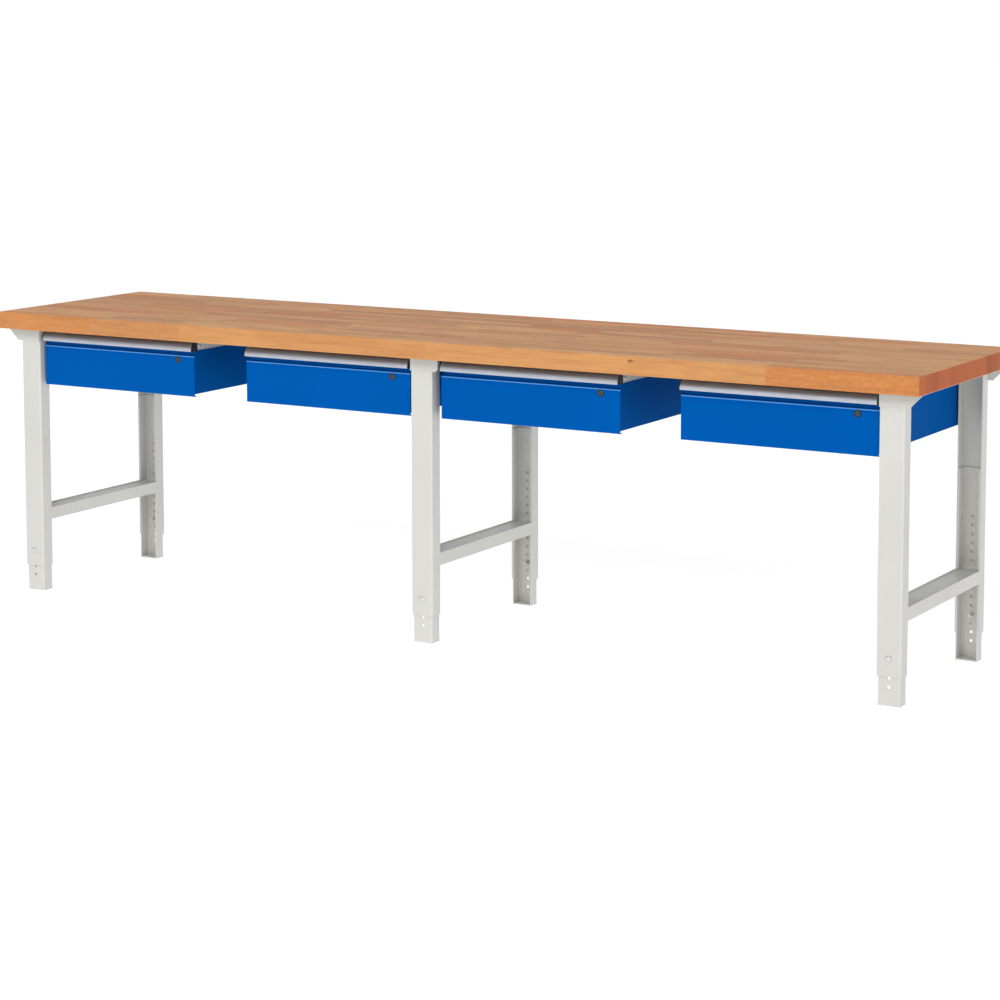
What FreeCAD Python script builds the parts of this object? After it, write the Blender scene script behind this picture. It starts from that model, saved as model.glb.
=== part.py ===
import FreeCAD, Part

import math
import os

# Long workbench: butcher-block top on three height-adjustable leg frames, with four drawers hung
# under the top. Millimetres. +X runs along the bench to its right end, +Y runs to the back, +Z is up.
# The origin is on the floor, under the middle of the top.

# ---- driving dimensions -------------------------------------------------------------------------
TOP_LENGTH, TOP_DEPTH, TOP_THICK = 3000.0, 700.0, 50.0
BENCH_HEIGHT = 865.0
TOP_EDGE_ROUND = 1.5

LEG_WIDTH, LEG_DEPTH, LEG_SHEET, LEG_BEND = 70.0, 42.0, 3.0, 2.5
LEG_WEB_Y = 304.0                     # outer face of every upper leg's web, from the middle
LEG_FRAME_X = {"left": -1410.0, "middle": 0.0, "right": 1410.0}
LEG_BOTTOM = 77.0
FOOT_GAP = 0.5                        # between a foot and the leg it slides in
FOOT_LENGTH = 533.0
SOLE_THICK = 4.0
HOLE_PITCH, FIRST_HOLE, HOLE_COUNT = 25.0, 49.0, 15
BOLT_HOLE_R = 4.5
LOCK_BOLT_HOLE = 3                    # the leg bolt sits in this hole of the column, counted from 0

PLATE_SHEET, PLATE_DROP = 2.5, 39.0   # top plates: their sheet, and how far their heads hang down
PLATE_BEND = 1.0
FLARE_FOOT, FLARE_TOP = 12.0, 49.0    # flare of an end frame's head past the leg, below and above
MIDDLE_FLARE_TOP = 20.0

BAR_BOTTOM, BAR_HEIGHT, BAR_RIM = 219.0, 36.0, 3.0
BAR_HOLE_SPACING, BAR_SCREW_SPACING = 35.0, 40.0
BAR_HOLE_Y = 52.0                      # the pair of holes lies this far behind the middle
BAR_TONGUE_WIDTH, BAR_TONGUE_LENGTH = 52.0, 24.0
BAR_SCREW_INSET = 12.0

DRAWER_LEFT = [-1366.0, -611.0, 57.0, 804.0]
DRAWER_WIDTH = 565.0
FACE_Y = -288.0                       # front face of the drawers' blue panels
PANEL_BOTTOM, PANEL_TOP = 643.0, 765.0
PANEL_SHEET, PANEL_BEND = 1.5, 1.5
PANEL_LIP = 12.0
RECESS_DEPTH, RECESS_TOP = 10.0, 806.0
RECESS_INSET = 2.0                    # the recess ends this far inside the casing's sides

GRIP_TOP, GRIP_BOTTOM = 807.0, 779.0
GRIP_OUT, GRIP_WALL = 13.0, 2.2       # how far the grip's lower edge stands out, and its thickness
CAP_THICK = 2.5

CASING_SHEET, CASING_BEND = 1.5, 1.5
CASING_BOTTOM, CASING_TOP, CASING_DEPTH = 651.0, 780.0, 582.0
CASING_FRONT_GAP = 1.5
CASING_FOLD = 12.0
CASING_CUT = (12.0, 15.0)             # front top corner that clears the fingers: depth, height

RAIL_SHEET, RAIL_FLANGE, RAIL_DROP = 2.0, 24.0, 47.0
CATCH_SHEET, CATCH_BOTTOM, CATCH_BACK = 1.5, 765.0, 22.0

RUNNER_SPACE, RUNNER_SHEET = 13.0, 1.2
RUNNER_Z = 705.0
FIXED_RUNNER = dict(height=45.0, flange=9.0, length=550.0)
MIDDLE_RUNNER = dict(height=40.6, flange=7.0, length=500.0)
DRAWER_RUNNER = dict(height=34.0, flange=6.0, length=500.0)
RUNNER_SETBACK = 18.0                 # from the panel's front face to the runners' front ends

TRAY_BOTTOM, TRAY_TOP, TRAY_FRONT_TOP, TRAY_LENGTH, TRAY_SHEET = 662.0, 745.0, 738.0, 520.0, 1.5

LOCK_FROM_END, LOCK_Z = 60.0, 751.0
LOCK_HEAD_R, LOCK_HEAD_THICK, LOCK_BODY_R, LOCK_BODY_LENGTH = 10.0, 1.5, 8.0, 26.0
LOCK_GAP = 0.1
CAM_THICK, CAM_REACH, CAM_WIDTH = 2.5, 24.0, 10.0

SCREW_HEAD_R, SCREW_HEAD_H, SCREW_SHANK_R, SCREW_LENGTH = 5.0, 3.0, 2.4, 25.0
PILOT_GAP = 0.05

# ---- worked out from them -----------------------------------------------------------------------
TOP_UNDERSIDE = BENCH_HEIGHT - TOP_THICK
LEG_TOP = TOP_UNDERSIDE - PLATE_SHEET - PLATE_BEND
FOOT_WEB_Y = LEG_WEB_Y - LEG_SHEET - FOOT_GAP
FOOT_WIDTH = LEG_WIDTH - 2 * (LEG_SHEET + FOOT_GAP)
LEG_OPEN_Y = LEG_WEB_Y - LEG_DEPTH
BOLT_Z = FIRST_HOLE + LOCK_BOLT_HOLE * HOLE_PITCH
BAR_WEB_TOP = BAR_BOTTOM + BAR_HEIGHT - BAR_RIM
PANEL_BACK = FACE_Y + PANEL_SHEET
RECESS_Y = FACE_Y + RECESS_DEPTH
CASING_FRONT = FACE_Y + PANEL_SHEET + CASING_FRONT_GAP
CASING_REAR = FACE_Y + CASING_DEPTH
CATCH_Y = FACE_Y + CATCH_BACK
RUNNER_FRONT = FACE_Y + RUNNER_SETBACK
CAM_Y = PANEL_BACK - PANEL_SHEET + LOCK_BODY_LENGTH + LOCK_GAP
TRAY_INSET = CASING_SHEET + RUNNER_SPACE
FRAMES = [(name, x) for name, x in LEG_FRAME_X.items()]
DRAWERS = [(i + 1, left, left + DRAWER_WIDTH) for i, left in enumerate(DRAWER_LEFT)]
ROWS = [("front", -1), ("rear", 1)]


# ---- building blocks ----------------------------------------------------------------------------
def box(x0, x1, y0, y1, z0, z1):
    """A box between two corners."""
    return Part.makeBox(x1 - x0, y1 - y0, z1 - z0, FreeCAD.Vector(x0, y0, z0))


def rod(centre, direction, radius, length):
    """A round bar from a centre point, along a direction."""
    return Part.makeCylinder(radius, length, FreeCAD.Vector(*centre), FreeCAD.Vector(*direction))


def place(plane, u, v, w=0.0):
    """A point of a flat outline in space. The outline's plane is xy, yz or xz."""
    if plane == "xy":
        return FreeCAD.Vector(u, v, w)
    if plane == "yz":
        return FreeCAD.Vector(w, u, v)
    return FreeCAD.Vector(u, w, v)


def rounded_outline(points, radii):
    """(start, middle, end) of each corner of a closed outline. A sharp corner has one point."""
    corners = []
    for i, (u, v) in enumerate(points):
        radius = radii[i]
        if radius <= 0:
            corners.append([(u, v)])
            continue
        before, after = points[i - 1], points[(i + 1) % len(points)]
        a = math.atan2(before[1] - v, before[0] - u)
        b = math.atan2(after[1] - v, after[0] - u)
        half = abs(math.remainder(b - a, 2 * math.pi)) / 2
        tangent = radius / math.tan(half)
        bisector = a + math.remainder(b - a, 2 * math.pi) / 2
        to_arc = radius / math.sin(half) - radius
        corners.append([
            (u + tangent * math.cos(a), v + tangent * math.sin(a)),
            (u + to_arc * math.cos(bisector), v + to_arc * math.sin(bisector)),
            (u + tangent * math.cos(b), v + tangent * math.sin(b)),
        ])
    return corners


def prism(plane, points, start, end, radii=None):
    """A closed outline, with rounded corners if radii says so, pulled from start to end."""
    corners = rounded_outline(points, radii or [0.0] * len(points))
    edges = []
    for i, corner in enumerate(corners):
        at = [place(plane, *p, start) for p in corner]
        if len(at) == 3:
            edges.append(Part.Arc(*at).toShape())
        following = place(plane, *corners[(i + 1) % len(corners)][0], start)
        if at[-1].distanceToPoint(following) > 1e-6:
            edges.append(Part.LineSegment(at[-1], following).toShape())
    face = Part.Face(Part.Wire(edges))
    return face.extrude(place(plane, 0, 0, end - start))


def bent_sheet(plane, path, sheet, bend, start, end):
    """A bent sheet. path is one face of it, and its thickness lies on the left of the path."""
    way = []
    for (u0, v0), (u1, v1) in zip(path, path[1:]):
        run = math.hypot(u1 - u0, v1 - v0)
        way.append(((u1 - u0) / run, (v1 - v0) / run))
    other, near_radii, far_radii = [], [], []
    for i, (u, v) in enumerate(path):
        before, after = way[max(i - 1, 0)], way[min(i, len(way) - 1)]
        scale = sheet / (1 + before[0] * after[0] + before[1] * after[1])
        other.append((u - (before[1] + after[1]) * scale, v + (before[0] + after[0]) * scale))
        turn = before[0] * after[1] - before[1] * after[0]
        near_radii.append(0.0 if abs(turn) < 1e-9 else bend + (sheet if turn > 0 else 0.0))
        far_radii.append(0.0 if abs(turn) < 1e-9 else bend + (0.0 if turn > 0 else sheet))
    outline = path + other[::-1]
    return prism(plane, outline, start, end, near_radii + far_radii[::-1])


def fused(shapes):
    """One solid from pieces that overlap or touch."""
    whole = shapes[0]
    for shape in shapes[1:]:
        whole = whole.fuse(shape)
    return whole.removeSplitter()


def cut(shape, tools):
    """A shape with every tool cut out of it."""
    for tool in tools:
        shape = shape.cut(tool)
    return shape


def save(node, solids):
    """Write one node's solids to parts/node.step."""
    solids = solids if isinstance(solids, list) else [solids]
    found = [s for shape in solids for s in shape.Solids]
    for solid in found:
        if not solid.isValid():
            raise ValueError(node + " has a solid that isn't valid")
    shape = found[0] if len(found) == 1 else Part.makeCompound(found)
    shape.exportStep("parts/" + node + ".step")
    print(node, len(found), round(sum(s.Volume for s in found) / 1000, 1), "cm3")


# ---- screws -------------------------------------------------------------------------------------
def screw(head_at, direction):
    """A pan-head screw. head_at is where the head's flat side rests, and direction is the way it
    goes in."""
    into = FreeCAD.Vector(*direction)
    at = FreeCAD.Vector(*head_at)
    head = rod(at - into * SCREW_HEAD_H, into, SCREW_HEAD_R, SCREW_HEAD_H)
    outer = [e for e in head.Edges if e.Curve.TypeId == "Part::GeomCircle"]
    outer = [e for e in outer if (e.CenterOfMass - at).Length > SCREW_HEAD_H / 2]
    head = head.makeFillet(SCREW_HEAD_H * 0.6, outer)
    shank = rod(at - into * 0.5, into, SCREW_SHANK_R, SCREW_LENGTH + 0.5)
    return fused([head, shank])


def pilot(head_at, direction):
    """The hole that a screw goes into."""
    return rod(head_at, direction, SCREW_SHANK_R + PILOT_GAP, SCREW_LENGTH + PILOT_GAP)


def plate_reach(name):
    """(inner edge, outer edge, flare direction, flare at the top) of a frame's top plate along X."""
    x = LEG_FRAME_X[name]
    way = -1 if name == "left" else 1
    flare = MIDDLE_FLARE_TOP if name == "middle" else FLARE_TOP
    return x - way * LEG_WIDTH / 2, x + way * (LEG_WIDTH / 2 + flare), way, flare


def plate_screws():
    """Where the screws of the top plates go, straight up."""
    spots = []
    for name, x in FRAMES:
        inner, outer, way, flare = plate_reach(name)
        for across in (inner + way * 15.0, outer - way * 20.0):
            for y in (-200.0, 0.0, 200.0):
                spots.append((across, y, TOP_UNDERSIDE - PLATE_SHEET))
    return spots


def rail_screws():
    """Where the screws of the hanger rails go, straight up."""
    spots = []
    for _, left, right in DRAWERS:
        for x in (left + CASING_SHEET + RAIL_FLANGE * 0.6, right - CASING_SHEET - RAIL_FLANGE * 0.6):
            for y in (-180.0, 0.0, 180.0):
                spots.append((x, y, TOP_UNDERSIDE - RAIL_SHEET))
    return spots


def catch_screws():
    """Where the screws go that join a catch bar's ends to the rails: (place, direction)."""
    spots = []
    for _, left, right in DRAWERS:
        y, z = CATCH_Y + 9.0, TOP_UNDERSIDE - 22.0
        spots.append(((left + CASING_SHEET, y, z), (1, 0, 0)))
        spots.append(((right - CASING_SHEET, y, z), (-1, 0, 0)))
    return spots


def bar_screws():
    """Where the screws at the rear end of the crossbars go, straight down."""
    y = LEG_OPEN_Y + BAR_SCREW_INSET
    half = BAR_SCREW_SPACING / 2
    return [(x + side * half, y, BAR_WEB_TOP) for _, x in FRAMES for side in (-1, 1)]


# ---- the top ------------------------------------------------------------------------------------
def tabletop():
    """The glued beech slab, with eased edges and the pilot holes in its underside."""
    half_x, half_y = TOP_LENGTH / 2, TOP_DEPTH / 2
    slab = box(-half_x, half_x, -half_y, half_y, TOP_UNDERSIDE, BENCH_HEIGHT)
    slab = slab.makeFillet(TOP_EDGE_ROUND, slab.Edges)
    holes = [pilot(p, (0, 0, 1)) for p in plate_screws() + rail_screws()]
    return cut(slab, [Part.makeCompound(holes)])


# ---- the leg frames -----------------------------------------------------------------------------
def channel(x, row, width, web_y, bottom, top):
    """A U channel that stands up, open towards the bench's middle. row is -1 in front, 1 behind."""
    half, open_y = row * width / 2, row * LEG_OPEN_Y
    path = [(x + half, open_y), (x + half, row * web_y), (x - half, row * web_y), (x - half, open_y)]
    return bent_sheet("xy", path, LEG_SHEET, LEG_BEND, bottom, top)


def web_hole(x, row, z):
    """A hole through the webs of a leg and a foot."""
    reach = LEG_SHEET + FOOT_GAP + LEG_SHEET + 4.0
    start = (x, row * (LEG_WEB_Y + 2.0), z)
    return rod(start, (0, -row, 0), BOLT_HOLE_R, reach)


def upper_leg(x, row):
    """The outer channel of a leg."""
    leg = channel(x, row, LEG_WIDTH, LEG_WEB_Y, LEG_BOTTOM, LEG_TOP)
    return leg.cut(web_hole(x, row, BOLT_Z))


def foot(x, row):
    """The inner channel with its column of holes, and its sole plate as a second solid."""
    leg = channel(x, row, FOOT_WIDTH, FOOT_WEB_Y, SOLE_THICK, FOOT_LENGTH)
    holes = [web_hole(x, row, FIRST_HOLE + k * HOLE_PITCH) for k in range(HOLE_COUNT)]
    leg = cut(leg, [Part.makeCompound(holes)])
    y0, y1 = sorted((row * (LEG_OPEN_Y - 2.0), row * FOOT_WEB_Y))
    half = FOOT_WIDTH / 2
    sole = box(x - half, x + half, y0, y1, 0.0, SOLE_THICK)
    uprights = [e for e in sole.Edges if abs(e.tangentAt(e.FirstParameter).z) > 0.9]
    return [leg, sole.makeFillet(2.0, uprights)]


def crossbar(x):
    """The bar between a frame's front and rear leg: two flanges with a web a little below their
    top edges, two holes a little behind mid-length, and a tongue at each end that reaches into
    the leg."""
    half, end = LEG_WIDTH / 2, LEG_OPEN_Y
    pieces = [
        box(x + a, x + b, -end, end, BAR_BOTTOM, BAR_BOTTOM + BAR_HEIGHT)
        for a, b in ((-half, -half + LEG_SHEET), (half - LEG_SHEET, half))
    ]
    web_bottom = BAR_WEB_TOP - LEG_SHEET
    pieces.append(box(x - half + 1.0, x + half - 1.0, -end, end, web_bottom, BAR_WEB_TOP))
    tongue, reach = BAR_TONGUE_WIDTH / 2, end + BAR_TONGUE_LENGTH
    pieces.append(box(x - tongue, x + tongue, -reach, reach, web_bottom, BAR_WEB_TOP))
    bar = fused(pieces)
    holes = [
        rod((x + side * BAR_HOLE_SPACING / 2, BAR_HOLE_Y, web_bottom - 1.0), (0, 0, 1), BOLT_HOLE_R, 10.0)
        for side in (-1, 1)
    ]
    holes += [pilot(p, (0, 0, -1)) for p in bar_screws() if abs(p[0] - x) < half]
    return cut(bar, holes)


def top_plate(name):
    """The plate under the top, bent down over the front and the rear leg. Each head flares out on
    one side, up to the plate's full width."""
    inner, outer, way, flare = plate_reach(name)
    head_y, low = LEG_WEB_Y + PLATE_SHEET, TOP_UNDERSIDE - PLATE_DROP
    path = [(head_y, low), (head_y, TOP_UNDERSIDE), (-head_y, TOP_UNDERSIDE), (-head_y, low)]
    x0, x1 = sorted((inner, outer))
    plate = bent_sheet("yz", path, PLATE_SHEET, PLATE_BEND, x0, x1)
    edge = outer - way * flare
    rise = min(flare - FLARE_FOOT, PLATE_DROP - PLATE_SHEET - 1.0)
    corner = [
        (edge + way * FLARE_FOOT, low - 1.0),
        (edge + way * FLARE_FOOT, low),
        (edge + way * (FLARE_FOOT + rise), low + rise),
        (outer + way, low + rise),
        (outer + way, low - 1.0),
    ]
    plate = plate.cut(prism("xz", corner, -head_y - 1.0, head_y + 1.0))
    holes = [pilot(p, (0, 0, 1)) for p in plate_screws() if x0 < p[0] < x1]
    return cut(plate, holes)


def leg_bolt_set(x, row):
    """A carriage bolt through a leg and its foot, with its washer and nut inside the channel."""
    inward = (0, -row, 0)
    face = row * LEG_WEB_Y
    inside = row * (FOOT_WEB_Y - LEG_SHEET)
    head = rod((x, face + row * 4.0, BOLT_Z), inward, 9.0, 4.0)
    rim = [e for e in head.Edges if abs(e.CenterOfMass.y) > abs(face) + 3.9]
    head = head.makeFillet(2.8, rim)
    shank = rod((x, face + row * 1.0, BOLT_Z), inward, 4.0, 26.0)
    washer = rod((x, inside, BOLT_Z), inward, 8.0, 1.6)
    washer = washer.cut(rod((x, inside + row, BOLT_Z), inward, 4.2, 4.0))
    nut_y = inside - row * 1.6
    sides = [math.radians(60 * k + 30) for k in range(6)]
    hexagon = [(x + 7.5 * math.cos(a), BOLT_Z + 7.5 * math.sin(a)) for a in sides]
    nut = prism("xz", hexagon, nut_y, nut_y - row * 6.5)
    nut = nut.cut(rod((x, nut_y + row, BOLT_Z), inward, 4.05, 10.0))
    return [fused([head, shank]), washer, nut]


# ---- the drawer units ---------------------------------------------------------------------------
def casing(left, right):
    """The fixed blue housing: two sides and a back in one bent sheet, folded in at the bottom."""
    path = [(right, CASING_FRONT), (right, CASING_REAR), (left, CASING_REAR), (left, CASING_FRONT)]
    shell = bent_sheet("xy", path, CASING_SHEET, CASING_BEND, CASING_BOTTOM, CASING_TOP)
    z1 = CASING_BOTTOM + CASING_SHEET
    rear = CASING_REAR - 5.0
    folds = [
        box(left + 0.5, left + CASING_FOLD, CASING_FRONT, rear, CASING_BOTTOM, z1),
        box(right - CASING_FOLD, right - 0.5, CASING_FRONT, rear, CASING_BOTTOM, z1),
    ]
    depth, height = CASING_CUT
    corner = [
        (CASING_FRONT - 1.0, CASING_TOP - height),
        (CASING_FRONT, CASING_TOP - height),
        (CASING_FRONT + depth, CASING_TOP),
        (CASING_FRONT + depth, CASING_TOP + 1.0),
        (CASING_FRONT - 1.0, CASING_TOP + 1.0),
    ]
    return fused([shell] + folds).cut(prism("yz", corner, left - 1.0, right + 1.0))


def hanger_rails(left, right):
    """The pair of angles that carry a casing under the top."""
    front, rear = FACE_Y + 20.0, CASING_REAR - 4.0
    rails = []
    for side, way in ((left + CASING_SHEET, 1), (right - CASING_SHEET, -1)):
        path = [
            (side + way * RAIL_FLANGE, TOP_UNDERSIDE),
            (side, TOP_UNDERSIDE),
            (side, TOP_UNDERSIDE - RAIL_DROP),
        ]
        path = path if way == 1 else path[::-1]
        rail = bent_sheet("xz", path, RAIL_SHEET, 1.5, front, rear)
        holes = [pilot(p, (0, 0, 1)) for p in rail_screws() if abs(p[0] - side) < RAIL_FLANGE]
        holes += [pilot(p, d) for p, d in catch_screws() if abs(p[0] - side) < 1.0]
        rails.append(cut(rail, holes))
    return rails


def catch_bar(left, right):
    """The cross bar between the hanger rails. The lock's cam turns up behind its lower edge."""
    x0, x1 = left + CASING_SHEET + RAIL_SHEET, right - CASING_SHEET - RAIL_SHEET
    high = TOP_UNDERSIDE - RAIL_SHEET - 12.0
    path = [(CATCH_Y, high), (CATCH_Y, CATCH_BOTTOM)]
    blade = bent_sheet("yz", path, CATCH_SHEET, 1.0, x0, x1)
    ears = [
        box(a, b, CATCH_Y, CATCH_Y + 18.0, high - 18.0, high)
        for a, b in ((x0, x0 + CATCH_SHEET), (x1 - CATCH_SHEET, x1))
    ]
    holes = [pilot(p, d) for p, d in catch_screws() if x0 - 5.0 < p[0] < x1 + 5.0]
    return cut(fused([blade] + ears), holes)


def runner(side, way, base, member, front, opens):
    """One member of a telescopic runner. side is the casing's inner face, way points from it to
    the tray, base is how far the member's web stands from it, and opens is the way its flanges
    point."""
    half = member["height"] / 2
    web = side + way * base
    tip = web + way * opens * member["flange"]
    path = [(tip, RUNNER_Z - half), (web, RUNNER_Z - half), (web, RUNNER_Z + half), (tip, RUNNER_Z + half)]
    path = path if way * opens < 0 else path[::-1]
    return bent_sheet("xz", path, RUNNER_SHEET, 0.6, front, front + member["length"])


def runner_pair(left, right, base, member, front, opens):
    """The same member on both sides of a drawer."""
    return [
        runner(left + CASING_SHEET, 1, base, member, front, opens),
        runner(right - CASING_SHEET, -1, base, member, front, opens),
    ]


def front_panel(left, right):
    """The blue drawer front, one bent sheet: a lip below, the panel, and a recess for the fingers
    with a wall that carries the grip."""
    path = [
        (RECESS_Y, RECESS_TOP),
        (RECESS_Y, PANEL_TOP),
        (FACE_Y, PANEL_TOP),
        (FACE_Y, PANEL_BOTTOM),
        (FACE_Y + PANEL_LIP, PANEL_BOTTOM),
    ]
    sheet = bent_sheet("yz", path, PANEL_SHEET, PANEL_BEND, left, right)
    low, behind = PANEL_TOP - PANEL_SHEET - PANEL_BEND, PANEL_BACK + 0.5
    ends = [
        box(a, b, behind, RECESS_Y + 5.0, low, RECESS_TOP + 1.0)
        for a, b in ((left - 1.0, left + RECESS_INSET), (right - RECESS_INSET, right + 1.0))
    ]
    hole = rod((right - LOCK_FROM_END, FACE_Y - 1.0, LOCK_Z), (0, 1, 0), LOCK_BODY_R + 0.05, 4.0)
    return cut(sheet, ends + [hole])


def grip_curve(offset):
    """Three points of the grip's convex face, moved in by offset: top, middle and lower edge."""
    top = (RECESS_Y - 6.0 + offset * 0.35, GRIP_TOP - offset)
    middle = (FACE_Y - 8.6 + offset * 0.83, GRIP_TOP - 10.6 - offset * 0.56)
    low = (FACE_Y - GRIP_OUT + offset, GRIP_BOTTOM)
    return [top, middle, low]


def grip(left, right):
    """The full-width grip strip: a curved wall with a flange that lies on the recess wall."""
    outer, inner = grip_curve(0.0), grip_curve(GRIP_WALL)
    x = left + CAP_THICK
    flange_y, flange_low = RECESS_Y - GRIP_WALL, GRIP_TOP - 17.0
    spots = {
        "back_top": (RECESS_Y, GRIP_TOP),
        "back_low": (RECESS_Y, flange_low),
        "flange_low": (flange_y, flange_low),
        "flange_top": (flange_y, inner[0][1]),
    }
    at = {name: place("yz", *p, x) for name, p in spots.items()}
    a = [place("yz", *p, x) for p in outer]
    b = [place("yz", *p, x) for p in inner]
    edges = [
        Part.LineSegment(at["back_top"], a[0]).toShape(),
        Part.Arc(*a).toShape(),
        Part.LineSegment(a[2], b[2]).toShape(),
        Part.Arc(b[2], b[1], b[0]).toShape(),
        Part.LineSegment(b[0], at["flange_top"]).toShape(),
        Part.LineSegment(at["flange_top"], at["flange_low"]).toShape(),
        Part.LineSegment(at["flange_low"], at["back_low"]).toShape(),
        Part.LineSegment(at["back_low"], at["back_top"]).toShape(),
    ]
    return Part.Face(Part.Wire(edges)).extrude(FreeCAD.Vector(right - left - 2 * CAP_THICK, 0, 0))


def grip_caps(left, right):
    """The two end caps that close the grip strip."""
    caps = []
    for x in (left, right - CAP_THICK):
        a = [place("yz", *p, x) for p in grip_curve(0.0)]
        back_top, back_low = place("yz", RECESS_Y, GRIP_TOP, x), place("yz", RECESS_Y, GRIP_BOTTOM, x)
        edges = [
            Part.LineSegment(back_top, a[0]).toShape(),
            Part.Arc(*a).toShape(),
            Part.LineSegment(a[2], back_low).toShape(),
            Part.LineSegment(back_low, back_top).toShape(),
        ]
        caps.append(Part.Face(Part.Wire(edges)).extrude(FreeCAD.Vector(CAP_THICK, 0, 0)))
    return caps


def tray(left, right):
    """The drawer's tray, open at the top, with a lower front wall behind the lock."""
    x0, x1 = left + TRAY_INSET, right - TRAY_INSET
    y0, y1, t = PANEL_BACK, PANEL_BACK + TRAY_LENGTH, TRAY_SHEET
    body = box(x0, x1, y0, y1, TRAY_BOTTOM, TRAY_TOP)
    uprights = [e for e in body.Edges if abs(e.tangentAt(e.FirstParameter).z) > 0.9]
    body = body.makeFillet(2.0, uprights)
    inside = box(x0 + t, x1 - t, y0 + t, y1 - t, TRAY_BOTTOM + t, TRAY_TOP + 1.0)
    step = box(x0 + 12.0, x1 - 12.0, y0 - 1.0, y0 + t + 1.0, TRAY_FRONT_TOP, TRAY_TOP + 1.0)
    return cut(body, [inside, step])


def lock_cylinder(right):
    """The round lock in the drawer front, with a key slot in its head."""
    x = right - LOCK_FROM_END
    head_y = FACE_Y - LOCK_GAP - LOCK_HEAD_THICK
    head = rod((x, head_y, LOCK_Z), (0, 1, 0), LOCK_HEAD_R, LOCK_HEAD_THICK)
    rim = [e for e in head.Edges if e.Closed and abs(e.CenterOfMass.y - head_y) < 0.01]
    head = head.makeChamfer(0.7, rim)
    body = rod((x, head_y + 0.5, LOCK_Z), (0, 1, 0), LOCK_BODY_R, CAM_Y - head_y - 0.5)
    slot = box(x - 0.9, x + 0.9, head_y - 1.0, head_y + 9.0, LOCK_Z - 4.0, LOCK_Z + 4.0)
    return fused([head, body]).cut(slot)


def lock_cam(right):
    """The cam on the lock's inner end, and the screw that holds it."""
    x = right - LOCK_FROM_END
    half = CAM_WIDTH / 2
    tip, back = x - CAM_REACH, x + LOCK_BODY_R * 0.7
    outline = [(back, LOCK_Z - half), (back, LOCK_Z + half), (tip, LOCK_Z + half), (tip, LOCK_Z - half)]
    plate = prism("xz", outline, CAM_Y, CAM_Y + CAM_THICK, [2.0, 2.0, 4.0, 4.0])
    head = rod((x, CAM_Y + CAM_THICK, LOCK_Z), (0, 1, 0), 4.0, 2.5)
    return [plate, head]


# ---- write every node ---------------------------------------------------------------------------
os.makedirs("parts", exist_ok=True)

save("tabletop", tabletop())
for frame_name, frame_x in FRAMES:
    save("crossbar_" + frame_name, crossbar(frame_x))
    save("top_plate_" + frame_name, top_plate(frame_name))
    for row_name, row_side in ROWS:
        save("upper_leg_" + frame_name + "_" + row_name, upper_leg(frame_x, row_side))
        save("foot_" + frame_name + "_" + row_name, foot(frame_x, row_side))
save("leg_bolt_sets", [s for _, x in FRAMES for _, row in ROWS for s in leg_bolt_set(x, row)])

screws = [screw(p, (0, 0, 1)) for p in plate_screws() + rail_screws()]
screws += [screw(p, d) for p, d in catch_screws()]
screws += [screw(p, (0, 0, -1)) for p in bar_screws()]
save("pan_head_screws", screws)

save("hanger_rails", [s for _, left, right in DRAWERS for s in hanger_rails(left, right)])
save("lock_catch_bars", [catch_bar(left, right) for _, left, right in DRAWERS])
fixed = [
    s for _, left, right in DRAWERS
    for s in runner_pair(left, right, 0.0, FIXED_RUNNER, RUNNER_FRONT, 1)
]
save("fixed_runners", fixed)

for number, left_end, right_end in DRAWERS:
    tail = "_" + str(number)
    save("casing" + tail, casing(left_end, right_end))
    save("tray" + tail, tray(left_end, right_end))
    save("drawer_front" + tail, front_panel(left_end, right_end))
    save("grip_strip" + tail, grip(left_end, right_end))
    save("grip_caps" + tail, grip_caps(left_end, right_end))
    middle = runner_pair(left_end, right_end, 4.0, MIDDLE_RUNNER, RUNNER_FRONT, 1)
    save("middle_runners" + tail, middle)
    inner_runners = runner_pair(left_end, right_end, RUNNER_SPACE, DRAWER_RUNNER, RUNNER_FRONT, -1)
    save("drawer_runners" + tail, inner_runners)
    save("lock_cylinder" + tail, lock_cylinder(right_end))
    save("lock_cam" + tail, lock_cam(right_end))
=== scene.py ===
import math

import bmesh
import bpy
from bpy.props import FloatProperty, FloatVectorProperty, IntProperty, PointerProperty
from mathutils import Matrix, Vector


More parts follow.
